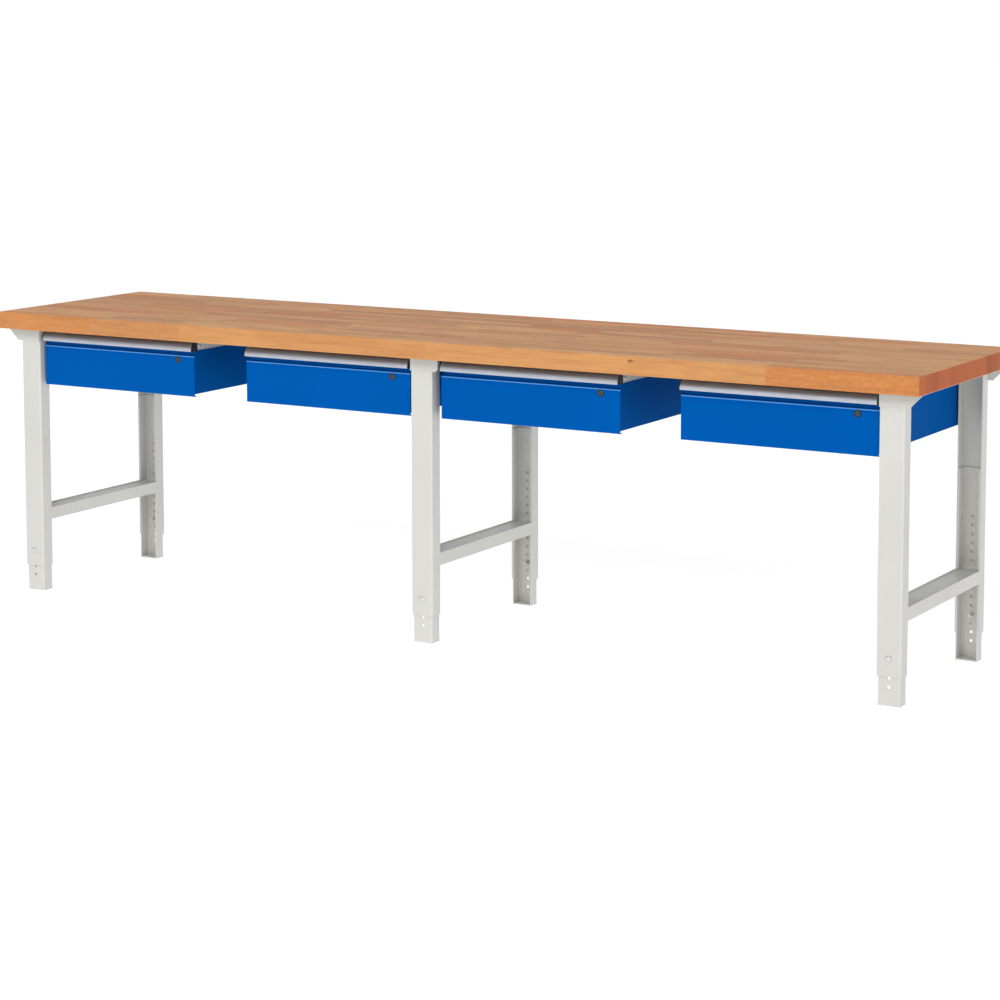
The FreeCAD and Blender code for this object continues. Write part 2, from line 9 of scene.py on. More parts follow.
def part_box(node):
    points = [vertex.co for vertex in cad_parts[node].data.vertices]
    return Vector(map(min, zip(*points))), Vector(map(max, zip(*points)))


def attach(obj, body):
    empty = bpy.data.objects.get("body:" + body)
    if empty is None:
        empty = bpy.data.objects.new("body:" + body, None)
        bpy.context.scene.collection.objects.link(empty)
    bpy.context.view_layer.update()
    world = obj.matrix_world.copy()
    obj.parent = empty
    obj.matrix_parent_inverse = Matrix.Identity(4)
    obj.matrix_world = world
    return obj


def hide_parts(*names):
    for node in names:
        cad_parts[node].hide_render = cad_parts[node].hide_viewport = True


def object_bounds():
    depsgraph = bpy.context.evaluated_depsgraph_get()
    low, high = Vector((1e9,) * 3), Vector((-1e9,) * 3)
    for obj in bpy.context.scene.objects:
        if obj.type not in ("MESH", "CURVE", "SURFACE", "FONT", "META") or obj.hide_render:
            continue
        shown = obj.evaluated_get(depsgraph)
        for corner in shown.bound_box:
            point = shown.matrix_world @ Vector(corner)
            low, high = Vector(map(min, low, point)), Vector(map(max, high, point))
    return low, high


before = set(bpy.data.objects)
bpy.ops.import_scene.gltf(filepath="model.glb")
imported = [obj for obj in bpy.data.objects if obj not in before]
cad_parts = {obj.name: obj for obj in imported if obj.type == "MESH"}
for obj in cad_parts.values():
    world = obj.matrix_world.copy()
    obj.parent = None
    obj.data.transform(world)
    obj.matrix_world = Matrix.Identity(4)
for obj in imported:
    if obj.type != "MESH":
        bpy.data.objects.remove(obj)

bl_info = {
    "name": "Workbench with drawers",
    "version": (1, 0, 0),
    "blender": (4, 5, 0),
    "location": "View3D > Sidebar > Workbench",
    "description": "Finishes the workbench: beech top, painted steel, drawers and hardware",
    "category": "Object",
}

CAD_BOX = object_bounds()
MM = 0.001
NEAR_ENOUGH = 0.01 * MM
LEAST_FASTENER = 20.0 * MM
BOLT_HEAD_HEIGHT = 4.0 * MM
PLUG_DEPTH = 4.0 * MM
DRAWERS = (1, 2, 3, 4)
FRAMES = ("left", "middle", "right")


# ---- settings -----------------------------------------------------------------------------------
def length(name, description, default):
    """A property for a size in metres."""
    return FloatProperty(
        name=name, description=description, default=default, min=0.0, subtype="DISTANCE",
        unit="LENGTH", precision=4)


def colour(name, description, default):
    """A property for a colour."""
    return FloatVectorProperty(
        name=name, description=description, default=default, min=0.0, max=1.0, size=3,
        subtype="COLOR")


def share(name, description, default):
    """A property for a number from nought to one."""
    return FloatProperty(
        name=name, description=description, default=default, min=0.0, max=1.0,
        subtype="FACTOR")


class WorktopSettings(bpy.types.PropertyGroup):
    """The glued beech top."""
    rows: IntProperty(
        name="Rows", description="How many staves lie side by side", default=16, min=2)
    staves: IntProperty(
        name="Staves in a row", description="How many staves lie end to end", default=8, min=2)
    stagger: share("Stagger", "How far an end joint may stray, as a share of a stave", 0.5)
    seed: IntProperty(
        name="Seed", description="Picks another lot of staves", default=184, min=0)
    edge_round: length("Edge rounding", "Radius on the outer edges", 0.0015)
    brown_wood: colour("Brown staves", "The darkest staves", (0.61, 0.250, 0.092))
    pale_wood: colour("Pale staves", "The palest staves", (0.87, 0.44, 0.155))
    red_wood: colour("Red staves", "The warmest staves", (0.75, 0.215, 0.032))
    end_wood: colour("End grain", "The cut ends of the staves", (0.40, 0.086, 0.014))


class PaintSettings(bpy.types.PropertyGroup):
    """The powder coats."""
    grey: colour("Grey", "The frames", (0.592, 0.588, 0.556))
    rail: colour("Rail grey", "The rails that the drawer units hang from", (0.56, 0.57, 0.55))
    blue: colour("Blue", "The drawer fronts", (0.0, 0.088, 0.375))
    # painted highlight: the colour laid along the fronts' top bend
    blue_bend_highlight: colour("Blue bend", "Painted highlight along the fronts' top bend", (0.13, 0.36, 0.80))
    blue_sheen: colour("Blue sheen", "Tint of the blue coat's reflections", (0.02, 0.42, 1.0))
    # painted shade: the casings take a darker blue than the fronts, standing in for the shade on
    # their sides
    shaded_case_blue: colour("Casing blue", "The casings, painted darker as shade", (0.0, 0.078, 0.315))
    grain: length("Texture", "Distance between the bumps of the coat", 0.0014)
    grey_roughness: share("Grey roughness", "How matt the grey is", 0.42)
    blue_roughness: share("Blue roughness", "How matt the blue is", 0.40)


class HardwareSettings(bpy.types.PropertyGroup):
    """Screws and bolts."""
    screw_head: length("Screw head radius", "Pan-head screws", 0.005)
    screw_height: length("Screw head height", "Pan-head screws", 0.003)
    screw_shank: length("Screw shank radius", "Pan-head screws", 0.0023)
    screw_length: length("Screw length", "From under the head to the tip", 0.025)
    bolt_head: length("Bolt head radius", "The bolts that set the height", 0.009)
    bolt_shank: length("Bolt radius", "The bolts that set the height", 0.004)
    bolt_length: length("Bolt length", "From under the head to the end", 0.025)
    clamped: length("Clamped sheets", "From under the bolt's head to its washer", 0.0065)
    thread_pitch: length("Thread pitch", "From one turn of the thread to the next", 0.00125)


class LockSettings(bpy.types.PropertyGroup):
    """The drawer locks."""
    rim_radius: length("Rim radius", "The black rim in front of the panel", 0.010)
    rim_depth: length("Rim depth", "How far the rim stands out", 0.0015)
    plug_radius: length("Plug radius", "The part that the key turns", 0.0064)
    body_radius: length("Body radius", "The part behind the panel", 0.008)
    slot_width: length("Key slot width", "Across the slot", 0.0016)
    slot_height: length("Key slot height", "Along the slot", 0.0080)


class StageSettings(bpy.types.PropertyGroup):
    """The floor, the light and the camera."""
    camera_at: FloatVectorProperty(
        name="Camera position", description="Where the camera stands",
        default=(3.9343, -6.5806, 1.7598), size=3, subtype="TRANSLATION", unit="LENGTH")
    camera_turn: FloatVectorProperty(
        name="Camera rotation", description="How the camera is turned",
        default=(math.pi / 2 - 0.1055, 0.0, 0.5225), size=3, subtype="EULER", unit="ROTATION")
    lens: FloatProperty(
        name="Lens", description="Focal length", default=95.94, min=1.0, unit="CAMERA")
    shift_x: FloatProperty(name="Shift X", description="Sideways lens shift", default=-0.02)
    shift_y: FloatProperty(name="Shift Y", description="Upward lens shift", default=-0.2)
    key_power: FloatProperty(
        name="Key light", description="Power of the large front light", default=195.0, min=0.0,
        unit="POWER")
    side_power: FloatProperty(
        name="Side light", description="Power of the light at the right", default=9.0, min=0.0,
        unit="POWER")
    horizon: share("Horizon light", "Brightness of the sky at the horizon", 1.0)
    zenith: share("Overhead light", "Brightness of the sky straight above", 0.30)
    floor: share("Floor", "How pale the floor is", 0.80)
    floor_glow: share("Floor glow", "Light that the floor gives out itself", 0.62)


class WorkbenchSettings(bpy.types.PropertyGroup):
    """Everything that can be set on the workbench."""
    worktop: PointerProperty(type=WorktopSettings, name="Worktop", description="The beech top")
    paint: PointerProperty(type=PaintSettings, name="Paint", description="The powder coats")
    hardware: PointerProperty(
        type=HardwareSettings, name="Hardware", description="Screws and bolts")
    lock: PointerProperty(type=LockSettings, name="Locks", description="The drawer locks")
    stage: PointerProperty(
        type=StageSettings, name="Stage", description="Floor, light and camera")


# ---- node helpers -------------------------------------------------------------------------------
def add(tree, kind, values=None, **settings):
    """Adds a node. values holds its inputs by name or number; a socket is linked, and anything
    else is set."""
    node = tree.nodes.new(kind)
    for name, value in settings.items():
        setattr(node, name, value)
    for key, value in (values or {}).items():
        if isinstance(value, bpy.types.NodeSocket):
            tree.links.new(value, node.inputs[key])
        else:
            node.inputs[key].default_value = value
    return node


def maths(tree, operation, *values):
    """One step of arithmetic on sockets or numbers."""
    node = add(tree, "ShaderNodeMath", dict(enumerate(values)), operation=operation)
    return node.outputs[0]


def vector_maths(tree, operation, *values):
    """One step of arithmetic on vectors."""
    node = add(tree, "ShaderNodeVectorMath", dict(enumerate(values)), operation=operation)
    return node.outputs[0]


def separate(tree, vector):
    """The three parts of a vector."""
    return add(tree, "ShaderNodeSeparateXYZ", {0: vector}).outputs


def combine(tree, x, y, z):
    """A vector from three numbers or sockets."""
    return add(tree, "ShaderNodeCombineXYZ", {0: x, 1: y, 2: z}).outputs[0]


def remap(tree, value, low, high, to_low=0.0, to_high=1.0):
    """value taken smoothly from one range to another, and held at its ends."""
    node = add(
        tree, "ShaderNodeMapRange",
        {"Value": value, "From Min": low, "From Max": high, "To Min": to_low, "To Max": to_high},
        interpolation_type="SMOOTHSTEP")
    return node.outputs[0]


def blend_colours(tree, factor, first, second, way="MIX"):
    """Two colours blended. Each may be a socket or three numbers."""
    node = add(tree, "ShaderNodeMix", {0: factor}, data_type="RGBA", blend_type=way)
    for slot, value in ((6, first), (7, second)):
        if isinstance(value, bpy.types.NodeSocket):
            tree.links.new(value, node.inputs[slot])
        else:
            node.inputs[slot].default_value = (*value, 1.0)
    return node.outputs[2]


def toned(base, strength):
    """A colour times a number, which darkens it below one and lightens it above."""
    return [min(1.0, c * strength) for c in base]


def veil(tree, pattern, strength, under, over):
    """Lays one colour over another where a pattern is high, at a share of full strength."""
    return blend_colours(tree, maths(tree, "MULTIPLY", pattern, strength), under, over)


def noise(tree, at, scale, detail=2.0, roughness=0.5, stretch=None):
    """A noise pattern from nought to one, scale cells to the metre, stretched along an axis."""
    if stretch is not None:
        at = vector_maths(tree, "MULTIPLY", at, stretch)
    node = add(
        tree, "ShaderNodeTexNoise",
        {"Vector": at, "Scale": scale, "Detail": detail, "Roughness": roughness})
    return node.outputs["Fac"]


def new_material(name):
    """An empty material with a shader and an output, and the object's own coordinates."""
    material = bpy.data.materials.new(name)
    material.use_nodes = True
    tree = material.node_tree
    tree.nodes.clear()
    shader = add(tree, "ShaderNodeBsdfPrincipled")
    add(tree, "ShaderNodeOutputMaterial", {"Surface": shader.outputs[0]})
    at = add(tree, "ShaderNodeTexCoord").outputs["Object"]
    return material, tree, shader, at


def bumps(tree, shader, *layers):
    """Stacks bumps on a shader. Each layer is a height pattern and its depth in metres."""
    normal = None
    for height, depth in layers:
        values = {"Height": height, "Distance": depth, "Strength": 1.0}
        if normal is not None:
            values["Normal"] = normal
        normal = add(tree, "ShaderNodeBump", values).outputs["Normal"]
    tree.links.new(normal, shader.inputs["Normal"])


def finish_shader(tree, shader, base, roughness, **fixed):
    """Links a colour and a roughness, and sets the values that are the same all over."""
    tree.links.new(base, shader.inputs["Base Color"])
    tree.links.new(roughness, shader.inputs["Roughness"])
    names = {
        "metallic": "Metallic", "specular": "Specular IOR Level", "tint": "Specular Tint"}
    for name, value in fixed.items():
        shader.inputs[names[name]].default_value = value


# ---- finishes -----------------------------------------------------------------------------------
def powder_coat(name, paint, base, roughness, specular, tint=(1.0, 1.0, 1.0), highlight_band=None):
    """Powder coat: a fine pebbled skin with slow waves, a little uneven in shade and gloss, with
    sparse specks where a grain of powder stood proud. Bends get a painted highlight, a lighter
    colour laid along them. highlight_band is the height of such a bend that runs level, and the
    colour of its painted highlight."""
    material, tree, shader, at = new_material(name)
    peel = noise(tree, at, 1.0 / paint.grain, 2.0, 0.55)
    waves = noise(tree, at, 90.0, 1.0)
    cloud = noise(tree, at, 2.6, 3.0)
    handling = noise(tree, at, 14.0, 4.0, 0.6)
    speck = remap(tree, noise(tree, at, 420.0, 0.0), 0.74, 0.80)
    shade = blend_colours(
        tree, remap(tree, cloud, 0.3, 0.7), toned(base, 0.965), toned(base, 1.025))
    shade = veil(tree, speck, 0.25, shade, toned(base, 0.6))
    # painted shade: the low pits of the pebbled skin are a little darker
    pits = remap(tree, peel, 0.25, 0.45, 1.0, 0.0)
    shade = veil(tree, pits, 0.10, shade, toned(base, 0.75))
    # painted highlight: vertical bends, where the normal lies between X and Y, are lightened
    facing = separate(tree, add(tree, "ShaderNodeNewGeometry").outputs["Normal"])
    corner = maths(tree, "ABSOLUTE", maths(tree, "MULTIPLY", facing[0], facing[1]))
    bend_highlight = [min(1.0, c * 1.16 + 0.01) for c in base]
    shade = blend_colours(tree, remap(tree, corner, 0.1, 0.4, 0.0, 0.5), shade, bend_highlight)
    # painted highlight: a lighter band along a level bend at the given height
    if highlight_band is not None:
        level = separate(tree, at)[2]
        off = maths(tree, "ABSOLUTE", maths(tree, "SUBTRACT", level, highlight_band[0]))
        line = remap(tree, off, 0.5 * MM, 2.0 * MM, 0.85, 0.0)
        shade = blend_colours(tree, line, shade, highlight_band[1])
    rough = remap(tree, handling, 0.3, 0.75, roughness - 0.05, roughness + 0.07)
    bumps(tree, shader, (waves, 0.06 * MM), (peel, 0.04 * MM))
    finish_shader(tree, shader, shade, rough, specular=specular, tint=(*tint, 1.0))
    return material


def drawn_metal(name, base, roughness, stretch, depth=0.01 * MM):
    """Bare or plated metal with fine lines along the way it was drawn or rolled. stretch is how
    many lines there are to the metre along each axis."""
    material, tree, shader, at = new_material(name)
    lines = noise(tree, at, 1.0, 3.0, 0.65, stretch)
    cloud = noise(tree, at, 22.0, 3.0)
    shade = blend_colours(
        tree, remap(tree, lines, 0.3, 0.7), toned(base, 0.9), toned(base, 1.05))
    shade = blend_colours(
        tree, remap(tree, cloud, 0.35, 0.7, 0.0, 0.3), shade, toned(base, 0.86))
    even = remap(tree, cloud, 0.3, 0.7, roughness - 0.03, roughness + 0.05)
    rough = maths(tree, "ADD", remap(tree, lines, 0.3, 0.7, -0.05, 0.06), even)
    bumps(tree, shader, (lines, depth))
    finish_shader(tree, shader, shade, rough, metallic=1.0)
    return material


def galvanised_sheet(name, base, roughness):
    """Zinc-coated sheet with its faint crystal flowers."""
    material, tree, shader, at = new_material(name)
    crystal = add(tree, "ShaderNodeTexVoronoi", {"Vector": at, "Scale": 95.0}, feature="F1")
    tint = add(tree, "ShaderNodeSeparateColor", {"Color": crystal.outputs["Color"]}).outputs[0]
    fine = noise(tree, at, 500.0, 2.0)
    shade = blend_colours(tree, tint, toned(base, 0.86), base)
    shade = blend_colours(
        tree, remap(tree, fine, 0.35, 0.7, 0.0, 0.3), shade, toned(base, 0.8))
    rough = remap(tree, tint, 0.0, 1.0, roughness - 0.05, roughness + 0.10)
    bumps(tree, shader, (fine, 0.012 * MM))
    finish_shader(tree, shader, shade, rough, metallic=1.0)
    return material


def moulded_plastic(name, base, roughness):
    """Black plastic with the fine spark texture of its mould."""
    material, tree, shader, at = new_material(name)
    spark = noise(tree, at, 1600.0, 2.0, 0.6)
    cloud = noise(tree, at, 40.0, 2.0)
    shade = blend_colours(
        tree, remap(tree, cloud, 0.3, 0.7), toned(base, 0.8), toned(base, 1.25))
    rough = remap(tree, spark, 0.3, 0.7, roughness - 0.06, roughness + 0.08)
    bumps(tree, shader, (spark, 0.03 * MM))
    finish_shader(tree, shader, shade, rough, specular=0.4)
    return material


def beech(name, wood):
    """Oiled beech. Every stave has its own shade and its own place in the log, so its rings run
    as lines along its sides and as arcs across its ends."""
    material, tree, shader, _ = new_material(name)
    log = add(tree, "ShaderNodeAttribute", attribute_name="grain").outputs["Vector"]
    tone = add(tree, "ShaderNodeAttribute", attribute_name="stave_tone").outputs["Fac"]
    local = add(tree, "ShaderNodeAttribute", attribute_name="stave_local").outputs["Vector"]
    size = add(tree, "ShaderNodeAttribute", attribute_name="stave_size").outputs["Vector"]
    facing = separate(tree, add(tree, "ShaderNodeNewGeometry").outputs["Normal"])
    brown = wood.brown_wood
    # rings round the pith, wandering along the stave
    wander = noise(tree, log, 1.0, 2.0, 0.5, (3.0, 30.0, 30.0))
    across = separate(tree, log)
    squares = [maths(tree, "MULTIPLY", side, side) for side in (across[1], across[2])]
    radius = maths(tree, "POWER", maths(tree, "ADD", *squares), 0.5)
    drift = maths(tree, "MULTIPLY", wander, 5.0)
    phase = maths(tree, "ADD", maths(tree, "MULTIPLY", radius, 330.0), drift)
    ring = remap(tree, maths(tree, "PINGPONG", phase, 1.0), 0.55, 1.0)
    # pores and rays, far longer along the stave than across it
    flecks = remap(tree, noise(tree, log, 1.0, 1.0, 0.5, (260.0, 1900.0, 1900.0)), 0.60, 0.72)
    streaks = noise(tree, log, 1.0, 3.0, 0.55, (5.0, 110.0, 110.0))
    cloud = noise(tree, log, 1.0, 2.0, 0.5, (4.0, 18.0, 18.0))
    # small knots, far apart
    knot_cells = add(
        tree, "ShaderNodeTexVoronoi",
        {"Vector": vector_maths(tree, "MULTIPLY", log, (2.2, 6.0, 6.0)), "Scale": 1.0},
        feature="F1")
    knot = remap(tree, knot_cells.outputs["Distance"], 0.012, 0.035, 1.0, 0.0)
    shade = blend_colours(tree, remap(tree, tone, 0.0, 0.55), brown, wood.pale_wood)
    shade = blend_colours(tree, remap(tree, tone, 0.62, 1.0), shade, wood.red_wood)
    mottle = noise(tree, log, 1.0, 4.0, 0.7, (60.0, 150.0, 150.0))
    shade = veil(tree, remap(tree, cloud, 0.35, 0.65), 0.45, shade, brown)
    shade = veil(tree, remap(tree, mottle, 0.46, 0.60), 0.42, shade, wood.pale_wood)
    shade = veil(tree, remap(tree, streaks, 0.48, 0.7), 0.42, shade, toned(brown, 0.78))
    shade = veil(tree, ring, 0.16, shade, toned(brown, 0.72))
    shade = veil(tree, flecks, 0.30, shade, toned(brown, 0.5))
    # cut ends drink more oil, and stay darker
    end = remap(tree, maths(tree, "ABSOLUTE", facing[0]), 0.6, 0.9)
    ends = blend_colours(
        tree, tone, toned(wood.end_wood, 0.80), toned(wood.end_wood, 1.28))
    ends = veil(tree, ring, 0.35, ends, toned(wood.end_wood, 0.62))
    shade = blend_colours(tree, end, shade, ends)
    # hairline glue joints
    inward = vector_maths(
        tree, "SUBTRACT", (0.5, 0.5, 0.5), vector_maths(tree, "ABSOLUTE", local))
    gap = separate(tree, vector_maths(tree, "MULTIPLY", inward, size))
    nearest = maths(tree, "MINIMUM", maths(tree, "ADD", gap[0], end), gap[1])
    joint = remap(tree, nearest, 0.1 * MM, 0.6 * MM, 1.0, 0.0)
    shade = veil(tree, joint, 0.45, shade, toned(brown, 0.45))
    shade = veil(tree, knot, 0.8, shade, toned(brown, 0.25))
    # painted shade: faces that look up are a little cooler and darker
    painted_top_shade = remap(tree, facing[2], 0.7, 0.95)
    shade = blend_colours(tree, painted_top_shade, shade, (0.93, 0.94, 1.0), "MULTIPLY")
    # painted shade under the top: the underside is blended most of the way to dark grey
    painted_underside_shade = remap(tree, facing[2], -0.95, -0.7, 0.80, 0.0)
    shade = blend_colours(tree, painted_underside_shade, shade, (0.075, 0.066, 0.058))
    rough = remap(tree, streaks, 0.3, 0.7, 0.46, 0.56)
    bumps(tree, shader, (streaks, 0.04 * MM), (flecks, -0.03 * MM), (joint, -0.05 * MM))
    finish_shader(tree, shader, shade, rough, specular=0.18)
    return material


def wear(nodes, material):
    """Gives CAD nodes one material."""
    for name in nodes:
        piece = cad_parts[name]
        piece.data.materials.clear()
        piece.data.materials.append(material)


# ---- mesh helpers -------------------------------------------------------------------------------
def new_object(name, mesh):
    """Puts a mesh in the scene."""
    thing = bpy.data.objects.new(name, mesh)
    bpy.context.scene.collection.objects.link(thing)
    return thing


def mesh_from(bm, name):
    """Turns a bmesh into a mesh with its faces pointing out."""
    bmesh.ops.remove_doubles(bm, verts=bm.verts, dist=1e-7)
    bmesh.ops.recalc_face_normals(bm, faces=bm.faces)
    mesh = bpy.data.meshes.new(name)
    bm.to_mesh(mesh)
    bm.free()
    return mesh


def circle(bm, radius, height, sides):
    """A ring of points about Z."""
    turns = [math.tau * k / sides for k in range(sides)]
    return [bm.verts.new((radius * math.cos(a), radius * math.sin(a), height)) for a in turns]


def join_rings(bm, first, second):
    """A band of faces between two rings with the same number of points."""
    count = len(first)
    for k in range(count):
        after = (k + 1) % count
        bm.faces.new((first[k], first[after], second[after], second[k]))


def turned(bm, profile, sides, twist=None):
    """A turned solid about Z. profile is a list of radius and height, and starts and ends on the
    axis. twist cuts a helix: it takes a point's radius, height and angle, and gives its radius."""
    rings = []
    for radius, height in profile:
        if radius == 0.0:
            rings.append([bm.verts.new((0.0, 0.0, height))])
            continue
        ring = []
        for k in range(sides):
            angle = math.tau * k / sides
            r = radius if twist is None else twist(radius, height, angle)
            ring.append(bm.verts.new((r * math.cos(angle), r * math.sin(angle), height)))
        rings.append(ring)
    for low, high in zip(rings, rings[1:]):
        for k in range(sides):
            after = (k + 1) % sides
            corners = [low[k % len(low)], low[after % len(low)]]
            corners += [high[after % len(high)], high[k % len(high)]]
            bm.faces.new(list(dict.fromkeys(corners)))


def carve(target, tool):
    """Cuts one object out of another, and removes the tool."""
    cutter = target.modifiers.new("Carve", "BOOLEAN")
    cutter.operation = "DIFFERENCE"
    cutter.solver = "EXACT"
    cutter.object = tool
    graph = bpy.context.evaluated_depsgraph_get()
    mesh = bpy.data.meshes.new_from_object(target.evaluated_get(graph), depsgraph=graph)
    target.modifiers.clear()
    target.data = mesh
    bpy.data.objects.remove(tool)


def smooth(mesh, degrees=35.0):
    """Shades a mesh smooth, with the sharp edges kept."""
    mesh.shade_smooth()
    mesh.set_sharp_from_angle(angle=math.radians(degrees))


def islands(node):
    """The separate solids of a CAD node, each as a list of points."""
    bm = bmesh.new()
    bm.from_mesh(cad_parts[node].data)
    bmesh.ops.remove_doubles(bm, verts=bm.verts, dist=1e-6)
    found, seen = [], set()
    for start in bm.verts:
        if start.index in seen:
            continue
        group, queue = [], [start]
        seen.add(start.index)
        while queue:
            vert = queue.pop()
            group.append(vert.co.copy())
            for edge in vert.link_edges:
                other = edge.other_vert(vert)
                if other.index not in seen:
                    seen.add(other.index)
                    queue.append(other)
        found.append(group)
    bm.free()
    return found


def fastener_places(node, head_radius, head_height):
    """Where each headed fastener of a CAD node rests, and the way it points. Solids too short to
    be one, such as nuts and washers, are passed over."""
    places = []
    for points in islands(node):
        low = Vector([min(p[i] for p in points) for i in range(3)])
        high = Vector([max(p[i] for p in points) for i in range(3)])
        span = high - low
        axis = max(range(3), key=lambda i: span[i])
        if span[axis] < LEAST_FASTENER:
            continue
        middle = (low + high) / 2
        wide = []
        for p in points:
            off = p - middle
            off[axis] = 0.0
            if off.length > head_radius * 0.9:
                wide.append(p[axis])
        aim = Vector((0.0, 0.0, 0.0))
        at = middle.copy()
        if sum(wide) / len(wide) < middle[axis]:
            aim[axis] = 1.0
            at[axis] = low[axis] + head_height
        else:
            aim[axis] = -1.0
            at[axis] = high[axis] - head_height
        places.append((at, aim))
    return places


# ---- geometry nodes -----------------------------------------------------------------------------
def new_tree(name, inputs):
    """An empty geometry tree with named inputs. Gives the tree, its input node's sockets and its
    output node."""
    tree = bpy.data.node_groups.new(name, "GeometryNodeTree")
    tree.interface.new_socket("Geometry", in_out="OUTPUT", socket_type="NodeSocketGeometry")
    tree.interface.new_socket("Geometry", in_out="INPUT", socket_type="NodeSocketGeometry")
    for label, kind in inputs:
        tree.interface.new_socket(label, in_out="INPUT", socket_type="NodeSocket" + kind)
    return tree, add(tree, "NodeGroupInput").outputs, add(tree, "NodeGroupOutput")


def close_tree(tree, shape, material, result):
    """Ends a tree: instances made real, and a material set."""
    real = add(tree, "GeometryNodeRealizeInstances", {"Geometry": shape}).outputs[0]
    painted = add(tree, "GeometryNodeSetMaterial", {"Geometry": real, "Material": material})
    tree.links.new(painted.outputs[0], result.inputs[0])
    return real, painted


def store(tree, shape, name, kind, value):
    """Stores a value on the points of a shape."""
    node = add(
        tree, "GeometryNodeStoreNamedAttribute", {"Geometry": shape, "Name": name, "Value": value},
        data_type=kind, domain="POINT")
    return node.outputs[0]


def stored(tree, name):
    """Reads a vector that a shape holds."""
    node = add(tree, "GeometryNodeInputNamedAttribute", {"Name": name}, data_type="FLOAT_VECTOR")
    return node.outputs["Attribute"]


def chance(tree, low, high, number, seed):
    """A random number, the same for the same number and seed."""
    node = add(
        tree, "FunctionNodeRandomValue", {2: low, 3: high, 7: number, 8: seed},
        data_type="FLOAT")
    return node.outputs[1]


def grow(name, tree, values, mesh=None):
    """Runs a tree on a mesh, and gives a plain mesh object with no modifier."""
    host = new_object(name, mesh or bpy.data.meshes.new(name))
    nodes = host.modifiers.new("Grow", "NODES")
    nodes.node_group = tree
    sockets = {s.name: s.identifier for s in tree.interface.items_tree if s.in_out == "INPUT"}
    for label, value in values.items():
        nodes[sockets[label]] = value
    graph = bpy.context.evaluated_depsgraph_get()
    plain = bpy.data.meshes.new_from_object(
        host.evaluated_get(graph), preserve_all_data_layers=True, depsgraph=graph)
    host.modifiers.clear()
    host.data = plain
    plain.name = name
    if not plain.polygons:
        raise RuntimeError(f"the tree for {name} made nothing")
    plain.materials.clear()
    plain.materials.append(values["Material"])
    plain.polygons.foreach_set("material_index", [0] * len(plain.polygons))
    return host


def stave_tree():
    """Staves glued side by side and end to end. A row is cut at joints that stray at random, and
    each stave carries its shade and its place in the log."""
    tree, given, result = new_tree("Glued staves", [
        ("Length", "Float"), ("Depth", "Float"), ("Thickness", "Float"), ("Height", "Float"),
        ("Rows", "Int"), ("Staves", "Int"), ("Stagger", "Float"), ("Seed", "Int"),
        ("Material", "Material")])
    staves, seed = given["Staves"], given["Seed"]
    count = maths(tree, "MULTIPLY", given["Rows"], staves)
    line = add(tree, "GeometryNodeMeshLine", {"Count": count})
    number = add(tree, "GeometryNodeInputIndex").outputs[0]
    row = maths(tree, "FLOOR", maths(tree, "DIVIDE", maths(tree, "ADD", number, 0.5), staves))
    place = maths(tree, "SUBTRACT", number, maths(tree, "MULTIPLY", row, staves))
    row_seed = maths(tree, "ADD", seed, 1)
    shift = chance(tree, -0.3, 0.3, row, row_seed)
    pitch = maths(tree, "DIVIDE", given["Length"], staves)

    def joint(step):
        """Where a row is cut, step staves from its left end. Its two ends don't stray."""
        after_first = maths(tree, "GREATER_THAN", step, 0.5)
        before_last = maths(tree, "LESS_THAN", step, maths(tree, "SUBTRACT", staves, 0.5))
        inside = maths(tree, "MULTIPLY", after_first, before_last)
        key = maths(tree, "ADD", maths(tree, "MULTIPLY", row, maths(tree, "ADD", staves, 1)), step)
        stray = maths(tree, "MULTIPLY", chance(tree, -0.5, 0.5, key, seed), given["Stagger"])
        moved = maths(tree, "MULTIPLY", inside, maths(tree, "ADD", stray, shift))
        half = maths(tree, "MULTIPLY", staves, 0.5)
        steps = maths(tree, "SUBTRACT", maths(tree, "ADD", step, moved), half)
        return maths(tree, "MULTIPLY", steps, pitch)

    start, end = joint(place), joint(maths(tree, "ADD", place, 1))
    width = maths(tree, "DIVIDE", given["Depth"], given["Rows"])
    to_row = maths(tree, "MULTIPLY", maths(tree, "ADD", row, 0.5), width)
    across = maths(tree, "SUBTRACT", to_row, maths(tree, "MULTIPLY", given["Depth"], 0.5))
    middle = maths(tree, "MULTIPLY", maths(tree, "ADD", start, end), 0.5)
    centre = combine(tree, middle, across, given["Height"])
    size = combine(tree, maths(tree, "SUBTRACT", end, start), width, given["Thickness"])
    log = combine(
        tree,
        chance(tree, 0.0, 40.0, number, maths(tree, "ADD", seed, 2)),
        chance(tree, -0.09, 0.09, number, maths(tree, "ADD", seed, 3)),
        chance(tree, 0.02, 0.10, number, maths(tree, "ADD", seed, 4)))
    tone = chance(tree, 0.0, 1.0, number, maths(tree, "ADD", seed, 5))
    points = add(
        tree, "GeometryNodeSetPosition",
        {"Geometry": line.outputs[0], "Position": centre}).outputs[0]
    points = store(tree, points, "stave_tone", "FLOAT", tone)
    points = store(tree, points, "stave_size", "FLOAT_VECTOR", size)
    points = store(tree, points, "stave_log", "FLOAT_VECTOR", log)
    block = add(tree, "GeometryNodeMeshCube", {"Size": (1.0, 1.0, 1.0)}).outputs[0]
    corner = add(tree, "GeometryNodeInputPosition").outputs[0]
    block = store(tree, block, "stave_local", "FLOAT_VECTOR", corner)
    laid = add(
        tree, "GeometryNodeInstanceOnPoints",
        {"Points": points, "Instance": block, "Scale": stored(tree, "stave_size")})
    real, painted = close_tree(tree, laid.outputs[0], given["Material"], result)
    inside_stave = vector_maths(
        tree, "MULTIPLY", stored(tree, "stave_local"), stored(tree, "stave_size"))
    grain = vector_maths(tree, "ADD", inside_stave, stored(tree, "stave_log"))
    tree.links.new(store(tree, real, "grain", "FLOAT_VECTOR", grain), painted.inputs["Geometry"])
    return tree


